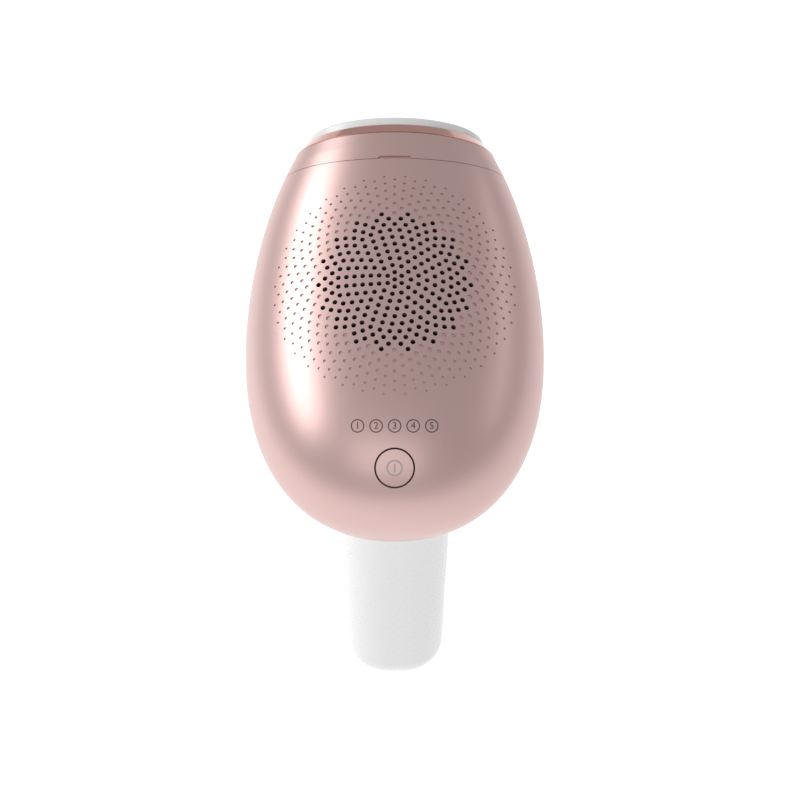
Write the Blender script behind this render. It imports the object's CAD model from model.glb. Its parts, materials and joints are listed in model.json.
import json
import math

import bpy
import numpy as np
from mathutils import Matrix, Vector
from mathutils.geometry import delaunay_2d_cdt
from mathutils.kdtree import KDTree


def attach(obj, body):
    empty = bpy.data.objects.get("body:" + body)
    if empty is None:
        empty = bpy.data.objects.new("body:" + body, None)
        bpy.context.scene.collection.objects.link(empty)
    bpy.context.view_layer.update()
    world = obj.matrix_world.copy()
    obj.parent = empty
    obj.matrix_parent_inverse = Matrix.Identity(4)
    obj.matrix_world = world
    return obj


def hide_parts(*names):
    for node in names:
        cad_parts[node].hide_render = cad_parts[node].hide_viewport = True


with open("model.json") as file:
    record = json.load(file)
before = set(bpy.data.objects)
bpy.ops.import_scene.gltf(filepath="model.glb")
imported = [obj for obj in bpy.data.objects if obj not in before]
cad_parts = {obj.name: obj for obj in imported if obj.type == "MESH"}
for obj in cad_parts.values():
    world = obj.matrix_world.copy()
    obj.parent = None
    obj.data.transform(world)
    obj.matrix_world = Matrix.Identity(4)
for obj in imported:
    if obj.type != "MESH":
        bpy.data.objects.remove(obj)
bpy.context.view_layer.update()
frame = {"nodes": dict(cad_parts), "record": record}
NODES = frame["nodes"]

# ---------- the head's geometry, in millimetres, as in the CAD ----------
TILT = math.radians(23.0)
HEAD_Y = 8.0
HEAD_Z = 118.6
HALF_WIDTH = 43.24
FLATTENING = 0.68
REAR_LENGTH = 57.3
REAR_POWER = 2.33
FRONT_LENGTH = 87.4
FRONT_POWER = 1.857
EDGE_H = -6.42
STRIP_S = 50.62
STRIP_SLOPE = 0.127
SEAM = 0.09
RIM_REAR = 60.55
RIM_FRONT = 64.05
MM = 0.001

CONTROL_TILT = math.radians(22.0)  # the controls' axis against the head's upper face
BUTTON_S = -44.5
BUTTON_HOLE_R = 5.75
LED_ROW = 11.8
LED_PITCH = 5.2
LED_COUNT = 5

VENT_S = 9.6
VENT_PITCH = 2.3
VENT_R = 0.71
VENT_FULL_RING = 7
VENT_RINGS = 10
DIMPLE_RINGS = 19
VENT_COUNT = 36
VENT_GAP = 1.95
VENT_GAP_RATIO = 0.955
DIMPLE_R = (0.72, 0.32)  # next to the holes, and at the outermost ring
DIMPLE_DEPTH = 0.42
WALL_DEPTH = 1.7


def place(x, s, h):
    """World point in metres of a point of the head."""
    y = HEAD_Y + s * math.cos(TILT) - h * math.sin(TILT)
    z = HEAD_Z + s * math.sin(TILT) + h * math.cos(TILT)
    return Vector((x, y, z)) * MM


def turn(x, s, h):
    """World direction of a direction of the head."""
    y = s * math.cos(TILT) - h * math.sin(TILT)
    z = s * math.sin(TILT) + h * math.cos(TILT)
    return Vector((x, y, z)).normalized()


def half_width(s):
    if s < 0:
        return HALF_WIDTH * max(1 - (-s / REAR_LENGTH) ** REAR_POWER, 0) ** (1 / REAR_POWER)
    return HALF_WIDTH * (1 - (s / FRONT_LENGTH) ** FRONT_POWER) ** (1 / FRONT_POWER)


def surface_normal(x, s, h):
    """Outward normal of the head's surface, in the head's own directions."""
    step = 0.05
    low = max(s - step, -REAR_LENGTH)
    w = max(half_width(s), 0.05)
    slope = (half_width(s + step) - half_width(low)) / (s + step - low)
    across = x / w
    up = h / (FLATTENING * w)
    normal = Vector((across, -slope, up / FLATTENING))
    return normal.normalized()


def height(x, s):
    return FLATTENING * math.sqrt(max(half_width(s) ** 2 - x * x, 0))


BUTTON_H = height(0, BUTTON_S)


def on_controls(u, v):
    """Head point on the surface, u across and v up the plane that faces the power button."""
    def point(t):
        s = BUTTON_S + v * math.cos(CONTROL_TILT) - t * math.sin(CONTROL_TILT)
        h = BUTTON_H + v * math.sin(CONTROL_TILT) + t * math.cos(CONTROL_TILT)
        return s, h
    low, high = -6.0, 6.0
    for _ in range(30):
        middle = (low + high) / 2
        s, h = point(middle)
        if s > -REAR_LENGTH and h < height(u, s):
            low = middle
        else:
            high = middle
    s, h = point(low)
    return u, s, h


def to_controls(x, s, h):
    ds, dh = s - BUTTON_S, h - BUTTON_H
    return x, ds * math.cos(CONTROL_TILT) + dh * math.sin(CONTROL_TILT)


# ---------- mesh helpers ----------
class Skin:
    """Vertices with their own normals, and faces."""

    def __init__(self):
        self.points = []
        self.normals = []
        self.faces = []

    def add(self, head_point, head_normal, depth=0.0):
        x, s, h = (c - n * depth for c, n in zip(head_point, head_normal))
        self.points.append(place(x, s, h))
        self.normals.append(turn(*head_normal))
        return len(self.points) - 1

    def make(self, name, material):
        mesh = bpy.data.meshes.new(name)
        mesh.from_pydata([tuple(p) for p in self.points], [], self.faces)
        mesh.materials.append(material)
        mesh.shade_smooth()
        mesh.normals_split_custom_set_from_vertices([tuple(n) for n in self.normals])
        mesh.update()
        piece = bpy.data.objects.new(name, mesh)
        bpy.context.scene.collection.objects.link(piece)
        return piece


def outline_rows(start, end, count):
    """Stations along the head, evenly spaced round its outline."""
    dense = np.linspace(0, 1, 1500)
    s = start + (end - start) * (1 - np.cos(dense * math.pi / 2))
    w = np.array([half_width(float(v)) for v in s])
    run = np.r_[0, np.cumsum(np.hypot(np.diff(s), np.diff(w)))]
    return np.interp(np.linspace(0, run[-1], count + 1), run, s)


def circle_points(centre, radius, count):
    turns = [2 * math.pi * i / count for i in range(count)]
    return [(centre[0] + radius * math.cos(a), centre[1] + radius * math.sin(a)) for a in turns]


def vent_pattern():
    """(centre, radius, is it open) for each hole and dimple of the vents."""
    marks = [((0.0, VENT_S), VENT_R, True)]
    radius = 0.0
    for ring in range(1, DIMPLE_RINGS + 1):
        if ring <= VENT_FULL_RING:
            radius += VENT_PITCH
            count = 5 * ring + 1
        else:
            radius += VENT_GAP * VENT_GAP_RATIO ** (ring - VENT_FULL_RING - 1)
            count = VENT_COUNT
        for i in range(count):
            angle = 2 * math.pi * (i + 0.5 * (ring % 2)) / count
            centre = (radius * math.cos(angle), VENT_S + radius * math.sin(angle))
            is_open = ring < VENT_RINGS or (ring == VENT_RINGS and i % 2 == 0)
            fade = max(ring - VENT_RINGS + 1, 0) / (DIMPLE_RINGS - VENT_RINGS + 1)
            size = VENT_R if is_open else DIMPLE_R[0] + (DIMPLE_R[1] - DIMPLE_R[0]) * fade
            marks.append((centre, size, is_open))
    return marks


HOLE_SIDES = 16
DIMPLE_SIDES = 14
BUTTON_SIDES = 96


def fill_region(skin, grid_ids, grid_heads, removed, to_plane, from_plane, marks, spacing, reach, sides):
    """Fill the removed cells of the grid with triangles that go round the marks."""
    rows, columns = removed.shape
    edges = []
    border = {}
    for i in range(rows):
        for j in range(columns):
            if not removed[i, j]:
                continue
            sides_of_cell = [
                ((i, j), (i, j + 1), i - 1, j),
                ((i, j + 1), (i + 1, j + 1), i, j + 1),
                ((i + 1, j + 1), (i + 1, j), i + 1, j),
                ((i + 1, j), (i, j), i, j - 1),
            ]
            for a, b, ni, nj in sides_of_cell:
                if not (0 <= ni < rows and 0 <= nj < columns) or not removed[ni, nj]:
                    for corner in (a, b):
                        border.setdefault(corner, len(border))
                    edges.append((border[a], border[b]))
    flat = [Vector(to_plane(*grid_heads[c])) for c in border]
    ids = [grid_ids[c] for c in border]
    loop = [(flat[a], flat[b]) for a, b in edges]
    rings = []
    for centre, radius, is_open in marks:
        count = sides(radius, is_open)
        ring = circle_points(centre, radius, count)
        start = len(flat)
        for p in ring:
            flat.append(Vector(p))
            head = from_plane(*p)
            ids.append(skin.add(head, surface_normal(*head)))
        edges += [(start + k, start + (k + 1) % count) for k in range(count)]
        rings.append((start, count))
    tree = KDTree(len(marks))
    for k, (centre, radius, _) in enumerate(marks):
        tree.insert((centre[0], centre[1], 0), k)
    tree.balance()
    edge_tree = KDTree(len(loop))
    for k, (a, b) in enumerate(loop):
        edge_tree.insert(((a.x + b.x) / 2, (a.y + b.y) / 2, 0), k)
    edge_tree.balance()
    middle = np.mean([tuple(p) for p in flat[: len(border)]], axis=0)
    steps = int(reach / spacing) + 1
    for i in range(-steps, steps + 1):
        for j in range(-steps, steps + 1):
            p = (middle[0] + (i + 0.5 * (j % 2)) * spacing, middle[1] + j * spacing * 0.866)
            near = tree.find_n((p[0], p[1], 0), min(2, len(marks)))
            if any(distance < marks[k][1] + 0.25 * spacing for _, k, distance in near):
                continue
            if edge_tree.find((p[0], p[1], 0))[2] < 0.6 * spacing:
                continue
            flat.append(Vector(p))
            ids.append(None)
    result = delaunay_2d_cdt(flat, edges, [], 0, 1e-6)
    out_points, out_faces, origin = result[0], result[2], result[3]
    inside = winding_test(loop)
    new_ids = {}
    for face in out_faces:
        centre = sum((out_points[k] for k in face), Vector((0, 0))) / len(face)
        if not inside(centre.x, centre.y):
            continue
        _, k, distance = tree.find((centre.x, centre.y, 0))
        count = rings[k][1]
        if distance < marks[k][1] * math.cos(math.pi / count):
            continue
        corners = []
        for v in face:
            if v not in new_ids:
                source = origin[v][0] if origin[v] else None
                if source is not None and ids[source] is not None:
                    new_ids[v] = ids[source]
                else:
                    head = from_plane(out_points[v].x, out_points[v].y)
                    new_ids[v] = skin.add(head, surface_normal(*head))
            corners.append(new_ids[v])
        skin.faces.append(corners)
    return rings


def winding_test(loop):
    a = np.array([tuple(p) for p, _ in loop])
    b = np.array([tuple(q) for _, q in loop])

    def inside(x, y):
        crosses = (a[:, 1] > y) != (b[:, 1] > y)
        with np.errstate(divide="ignore", invalid="ignore"):
            at = a[:, 0] + (y - a[:, 1]) / (b[:, 1] - a[:, 1]) * (b[:, 0] - a[:, 0])
        return bool(np.count_nonzero(crosses & (at > x)) % 2)

    return inside


def sink(skin, centre, radius, count, from_plane, axis, depth, floor_share):
    """Wall of a hole or dimple from its rim, with a floor where floor_share isn't 0."""
    top, bottom = [], []
    rim = circle_points(centre, radius, count)
    middle = from_plane(*centre)
    centre_normal = surface_normal(*middle)
    for p in rim:
        head = from_plane(*p)
        out = Vector((head[0] - middle[0], head[1] - middle[1], head[2] - middle[2])).normalized()
        top.append(skin.add(head, tuple(-out)))
        low = tuple(c - a * depth for c, a in zip(head, axis))
        if floor_share:
            low = tuple(m + (c - m) * floor_share - n * depth for c, m, n in zip(head, middle, centre_normal))
        bottom.append(skin.add(low, tuple(-out)))
    for k in range(count):
        n = (k + 1) % count
        skin.faces.append([top[k], top[n], bottom[n], bottom[k]])
    if floor_share:
        floor = []
        for p in rim:
            head = from_plane(*p)
            low = tuple(m + (c - m) * floor_share - n * depth for c, m, n in zip(head, middle, centre_normal))
            floor.append(skin.add(low, tuple(centre_normal)))
        skin.faces.append(floor)


def shell_skin(name, material, start, end_of, rows, columns, regions):
    """Outer skin of a shell of the head over its cover edge, from start to end_of(theta)."""
    skin = Skin()
    grid_ids, grid_heads = {}, {}
    for j in range(columns + 1):
        share = 2 * j / columns - 1
        stations = outline_rows(start(share), end_of(share), rows)
        for i, s in enumerate(stations):
            s = float(s)
            w = max(half_width(s), 1e-3)
            reach = math.pi if FLATTENING * w <= -EDGE_H else math.acos(EDGE_H / (FLATTENING * w))
            theta = share * reach
            head = (w * math.sin(theta), s, FLATTENING * w * math.cos(theta))
            grid_heads[i, j] = head
            grid_ids[i, j] = skin.add(head, surface_normal(*head))
    removed_all = np.zeros((rows, columns), bool)
    for centre, radius, to_plane, from_plane, marks, spacing, sides, axis in regions:
        removed = np.zeros((rows, columns), bool)
        for i in range(rows):
            for j in range(columns):
                corners = [grid_heads[c] for c in ((i, j), (i + 1, j), (i + 1, j + 1), (i, j + 1))]
                if all(c[2] > 0 and math.dist(to_plane(*c), centre) < radius for c in corners):
                    removed[i, j] = True
        removed_all |= removed
        fill_region(
            skin, grid_ids, grid_heads, removed, to_plane, from_plane, marks, spacing, radius + 2, sides
        )
        for mark_centre, mark_radius, is_open in marks:
            count = sides(mark_radius, is_open)
            if is_open:
                sink(skin, mark_centre, mark_radius, count, from_plane, axis, WALL_DEPTH, 0)
            else:
                sink(skin, mark_centre, mark_radius, count, from_plane, axis, DIMPLE_DEPTH, 0.86)
    for i in range(rows):
        for j in range(columns):
            if not removed_all[i, j]:
                corners = ((i, j), (i, j + 1), (i + 1, j + 1), (i + 1, j))
                skin.faces.append([grid_ids[c] for c in corners])
    border = [(i, 0) for i in range(rows + 1)] + [(rows, j) for j in range(1, columns + 1)]
    border += [(i, columns) for i in range(rows - 1, -1, -1)]
    outer, inner = [], []
    for corner in border:
        head = grid_heads[corner]
        normal = surface_normal(*head)
        outer.append(grid_ids[corner])
        inner.append(skin.add(head, normal, WALL_DEPTH))
    for k in range(len(border) - 1):
        skin.faces.append([outer[k], outer[k + 1], inner[k + 1], inner[k]])
    return skin.make(name, material)


def strip_station(share):
    """Where the parting plane meets the surface, at that share of the way round."""
    s = STRIP_S
    for _ in range(12):
        w = half_width(s)
        theta = share * math.acos(EDGE_H / (FLATTENING * w))
        h = FLATTENING * w * math.cos(theta)
        s = STRIP_S + STRIP_SLOPE * (height(0, STRIP_S) - h)
    return s


def oval_ring(name, material, profile, segments=256):
    """Ring of oval sections: profile holds (semi-width, semi-depth, s), crisp at every point."""
    skin = Skin()
    for (a0, b0, s0), (a1, b1, s1) in zip(profile, profile[1:]):
        ring = []
        for k in range(segments):
            t = 2 * math.pi * k / segments
            along = (a1 - a0, s1 - s0)
            lean = Vector((math.cos(t) * b0, 0, math.sin(t) * a0)).normalized()
            normal = (lean * along[1] + Vector((0, -along[0], 0))).normalized()
            pair = []
            for a, b, s in ((a0, b0, s0), (a1, b1, s1)):
                pair.append(skin.add((a * math.cos(t), s, b * math.sin(t)), tuple(normal)))
            ring.append(pair)
        for k in range(segments):
            n = (k + 1) % segments
            skin.faces.append([ring[k][0], ring[k][1], ring[n][1], ring[n][0]])
    return skin.make(name, material)


# ---------- materials ----------
def new_material(name, base, metallic=0.0, roughness=0.4, coat=0.0, specular=0.5):
    material = bpy.data.materials.new(name)
    material.use_nodes = True
    shader = material.node_tree.nodes["Principled BSDF"]
    shader.inputs["Base Color"].default_value = (*base, 1)
    shader.inputs["Metallic"].default_value = metallic
    shader.inputs["Roughness"].default_value = roughness
    shader.inputs["Coat Weight"].default_value = coat
    shader.inputs["Coat Roughness"].default_value = 0.12
    shader.inputs["Specular IOR Level"].default_value = specular
    return material


def grain(material, base, spread, scale, roughness, bump, detail=4.0):
    """Fine colour, roughness and height variation over a surface."""
    tree = material.node_tree
    shader = tree.nodes["Principled BSDF"]
    place_node = tree.nodes.new("ShaderNodeTexCoord")
    noise = tree.nodes.new("ShaderNodeTexNoise")
    noise.inputs["Scale"].default_value = scale
    noise.inputs["Detail"].default_value = detail
    tree.links.new(place_node.outputs["Object"], noise.inputs["Vector"])
    ramp = tree.nodes.new("ShaderNodeValToRGB")
    ramp.color_ramp.elements[0].position = 0.3
    ramp.color_ramp.elements[1].position = 0.7
    ramp.color_ramp.elements[0].color = (*[c * (1 - spread) for c in base], 1)
    ramp.color_ramp.elements[1].color = (*[min(c * (1 + spread), 1) for c in base], 1)
    tree.links.new(noise.outputs["Fac"], ramp.inputs["Fac"])
    tree.links.new(ramp.outputs["Color"], shader.inputs["Base Color"])
    span = tree.nodes.new("ShaderNodeMapRange")
    span.inputs["To Min"].default_value = roughness[0]
    span.inputs["To Max"].default_value = roughness[1]
    tree.links.new(noise.outputs["Fac"], span.inputs["Value"])
    tree.links.new(span.outputs["Result"], shader.inputs["Roughness"])
    if bump:
        relief = tree.nodes.new("ShaderNodeBump")
        relief.inputs["Strength"].default_value = bump
        relief.inputs["Distance"].default_value = 0.00002
        tree.links.new(noise.outputs["Fac"], relief.inputs["Height"])
        tree.links.new(relief.outputs["Normal"], shader.inputs["Normal"])
    return material


def make(name, base, spread=0.02, scale=4000, roughness=(0.35, 0.45), bump=0.1, **more):
    return grain(new_material(name, base, **more), base, spread, scale, roughness, bump)


ROSE = (0.68, 0.475, 0.455)
MATERIALS = {
    "pink_shell": make("rose_satin", ROSE, 0.035, 9000, (0.34, 0.41), 0.12, metallic=0.85, coat=0.1),
    "rose_mirror": make("rose_mirror", (0.66, 0.36, 0.31), 0.02, 1500, (0.08, 0.13), 0.03, metallic=1.0),
    "white_shell": make("white_gloss", (0.82, 0.82, 0.825), 0.01, 2500, (0.24, 0.32), 0.06, coat=0.25),
    "window_metal": make("window_metal", (0.75, 0.73, 0.71), 0.03, 3000, (0.12, 0.2), 0.05, metallic=1.0),
    "contact_metal": make("contact_metal", (0.62, 0.6, 0.6), 0.04, 6000, (0.25, 0.36), 0.1, metallic=1.0),
    "dark_plastic": make("dark_plastic", (0.018, 0.016, 0.016), 0.1, 5000, (0.5, 0.65), 0.2),
    "seal_rubber": make("seal_rubber", (0.045, 0.022, 0.018), 0.1, 5000, (0.55, 0.7), 0.2),
    "grey_plastic": make("grey_plastic", (0.2, 0.2, 0.205), 0.05, 4000, (0.45, 0.6), 0.15),
    "lens": make("smoked_lens", (0.07, 0.022, 0.018), 0.05, 3000, (0.3, 0.4), 0.03, specular=0.2),
    "light_guide": make("light_guide", (0.8, 0.8, 0.76), 0.02, 3000, (0.2, 0.3), 0.05),
    "circuit_board": make("circuit_board", (0.012, 0.10, 0.035), 0.25, 900, (0.3, 0.5), 0.2),
    "ferrite": make("ferrite", (0.03, 0.03, 0.032), 0.2, 2500, (0.5, 0.7), 0.3),
    "copper_coil": make("copper_coil", (0.5, 0.2, 0.08), 0.2, 1800, (0.25, 0.4), 0.4, metallic=0.9),
    "capacitor_sleeve": make("capacitor_sleeve", (0.012, 0.018, 0.05), 0.1, 1500, (0.2, 0.3), 0.1),
    "wire": make("wire", (0.45, 0.02, 0.015), 0.05, 2500, (0.35, 0.5), 0.1),
}
glass = make("warm_glass", (0.9, 0.72, 0.5), 0.02, 800, (0.02, 0.05), 0.02)
glass.node_tree.nodes["Principled BSDF"].inputs["Transmission Weight"].default_value = 0.85
MATERIALS["clear_glass"] = glass
print_dark = make("dark_print", (0.075, 0.045, 0.04), 0.1, 6000, (0.4, 0.5), 0.1)
print_light = make("light_print", (0.42, 0.37, 0.36), 0.05, 6000, (0.35, 0.45), 0.1)

slot_of = {entry["node"]: entry["material_slot"] for entry in frame["record"]["subparts"]}
for name, node in NODES.items():
    node.data.materials.clear()
    node.data.materials.append(MATERIALS[slot_of[name]])


# ---------- the rose cover with its vents, and the front strip ----------
def vent_sides(radius, is_open):
    return HOLE_SIDES if is_open else DIMPLE_SIDES


def button_sides(radius, is_open):
    return BUTTON_SIDES


vent_region = (
    (0.0, VENT_S), 35.6, lambda x, s, h: (x, s), lambda x, s: (x, s, height(x, s)),
    vent_pattern(), 1.0, vent_sides, (0, 0, 1),
)
button_region = (
    (0.0, 0.0), 9.0, to_controls, on_controls,
    [((0.0, 0.0), BUTTON_HOLE_R, True)], 0.8, button_sides,
    (0, -math.sin(CONTROL_TILT), math.cos(CONTROL_TILT)),
)
COVER_ROWS, COVER_COLUMNS = 150, 180
cover = shell_skin(
    "cover_skin", MATERIALS["pink_shell"], lambda share: -REAR_LENGTH,
    lambda share: strip_station(share) - SEAM, COVER_ROWS, COVER_COLUMNS, [vent_region, button_region],
)
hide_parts("back_cover", "vent_grille")
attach(cover, "body")

TRIM_BORE = (24.7, 15.7)
trim = oval_ring(
    "trim_mirror", MATERIALS["rose_mirror"],
    [
        (*TRIM_BORE, RIM_REAR),
        (half_width(RIM_REAR) - 0.35, FLATTENING * half_width(RIM_REAR) - 0.35, RIM_REAR),
        (half_width(RIM_REAR) - 0.05, FLATTENING * half_width(RIM_REAR) - 0.05, RIM_REAR + 0.3),
        (half_width(RIM_FRONT) - 0.6, FLATTENING * half_width(RIM_FRONT) - 0.6, RIM_FRONT - 0.25),
        (half_width(RIM_FRONT) - 0.95, FLATTENING * half_width(RIM_FRONT) - 0.95, RIM_FRONT),
        (*TRIM_BORE, RIM_FRONT),
        (*TRIM_BORE, RIM_REAR),
    ],
)
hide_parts("trim_ring")
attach(trim, "body")


# ---------- printed marks ----------
PRINT_LIFT = 0.03


def printed(name, outline_faces, material, body):
    """Flat shapes on the controls' plane, laid on the surface."""
    skin = Skin()
    for points, faces in outline_faces:
        start = len(skin.points)
        for u, v in points:
            head = on_controls(u, v)
            skin.add(head, surface_normal(*head), -PRINT_LIFT)
        skin.faces += [[start + k for k in face] for face in faces]
    piece = skin.make(name, material)
    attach(piece, body)
    return piece


def ring_shape(centre, outer, inner, count=48):
    points = circle_points(centre, outer, count) + circle_points(centre, inner, count)
    faces = [[k, (k + 1) % count, count + (k + 1) % count, count + k] for k in range(count)]
    return points, faces


def bar_shape(centre, width, length, steps=6):
    points, faces = [], []
    for k in range(steps + 1):
        v = centre[1] - length / 2 + length * k / steps
        points += [(centre[0] - width / 2, v), (centre[0] + width / 2, v)]
    for k in range(steps):
        faces.append([2 * k, 2 * k + 1, 2 * k + 3, 2 * k + 2])
    return points, faces


def digit_shape(text, centre, size):
    """Outline of one numeral as points and faces."""
    curve = bpy.data.curves.new("numeral", "FONT")
    curve.body = text
    curve.size = size
    curve.align_x = "CENTER"
    curve.align_y = "CENTER"
    curve.resolution_u = 3
    holder = bpy.data.objects.new("numeral", curve)
    bpy.context.scene.collection.objects.link(holder)
    bpy.context.view_layer.update()
    mesh = bpy.data.meshes.new_from_object(holder.evaluated_get(bpy.context.evaluated_depsgraph_get()))
    points = [(centre[0] + v.co.x, centre[1] + v.co.y) for v in mesh.vertices]
    faces = [list(face.vertices) for face in mesh.polygons]
    bpy.data.objects.remove(holder)
    bpy.data.curves.remove(curve)
    bpy.data.meshes.remove(mesh)
    return points, faces


spots = [((i - (LED_COUNT - 1) / 2) * LED_PITCH, LED_ROW) for i in range(LED_COUNT)]
ring_marks = [ring_shape(spot, 1.9, 1.6) for spot in spots]
numerals = [digit_shape(str(i + 1), spot, 2.7) for i, spot in enumerate(spots)]
level_marks = printed("level_marks", ring_marks + numerals, print_dark, "body")
icon = printed(
    "power_icon", [ring_shape((0, 0), 2.3, 1.88, 72), bar_shape((0, 0), 0.42, 2.3)], print_light, "power_key"
)


# ---------- stage, light and camera ----------
def area_light(name, at, aim, size, power, colour=(1, 1, 1)):
    lamp = bpy.data.lights.new(name, "AREA")
    lamp.shape = "RECTANGLE"
    lamp.size, lamp.size_y = size
    lamp.energy = power
    lamp.color = colour
    holder = bpy.data.objects.new(name, lamp)
    holder.location = at
    holder.rotation_euler = (Vector(aim) - Vector(at)).to_track_quat("-Z", "Y").to_euler()
    bpy.context.scene.collection.objects.link(holder)
    return holder


FLOOR_DROP = 0.12
floor_mesh = bpy.data.meshes.new("floor")
FLOOR_HALF = 6.0
floor_mesh.from_pydata(
    [(x * FLOOR_HALF, y * FLOOR_HALF, -FLOOR_DROP) for x, y in ((-1, -1), (1, -1), (1, 1), (-1, 1))],
    [],
    [(0, 1, 2, 3)],
)
floor = bpy.data.objects.new("floor", floor_mesh)
bpy.context.scene.collection.objects.link(floor)
pale = make("pale_floor", (0.93, 0.93, 0.93), 0.004, 6, (0.7, 0.8), 0)
pale.node_tree.nodes["Principled BSDF"].inputs["Emission Color"].default_value = (1, 1, 1, 1)
pale.node_tree.nodes["Principled BSDF"].inputs["Emission Strength"].default_value = 0.42
floor_mesh.materials.append(pale)

world = bpy.data.worlds.new("studio")
bpy.context.scene.world = world
world.use_nodes = True
world.node_tree.nodes["Background"].inputs["Color"].default_value = (1, 1, 1, 1)
world.node_tree.nodes["Background"].inputs["Strength"].default_value = 0.47
centre = place(0, 0, 0)
area_light("left_box", centre + Vector((-0.86, 0.22, 0.6)), centre, (1.5, 0.42), 7.0)
area_light("front_box", centre + Vector((-0.12, -0.95, 0.62)), centre, (0.9, 0.5), 1.3)
area_light("right_strip", centre + Vector((0.9, 0.2, 0.42)), centre, (1.2, 0.12), 0.5)

VIEW_ELEVATION = math.radians(45.0)
VIEW_DISTANCE = 1.0
VIEW_WIDTH = 0.224  # metres across the picture at the target
AIM = Vector((0.0015, -0.0279, 0.1341))
camera_data = bpy.data.cameras.new("camera")
camera_data.sensor_width = 36.0
camera_data.lens = 36.0 * VIEW_DISTANCE / VIEW_WIDTH
camera = bpy.data.objects.new("camera", camera_data)
camera.location = AIM + VIEW_DISTANCE * Vector((0, -math.cos(VIEW_ELEVATION), math.sin(VIEW_ELEVATION)))
camera.rotation_euler = (AIM - camera.location).to_track_quat("-Z", "Y").to_euler()
bpy.context.scene.collection.objects.link(camera)
bpy.context.scene.camera = camera
bpy.context.scene.view_settings.view_transform = "Standard"
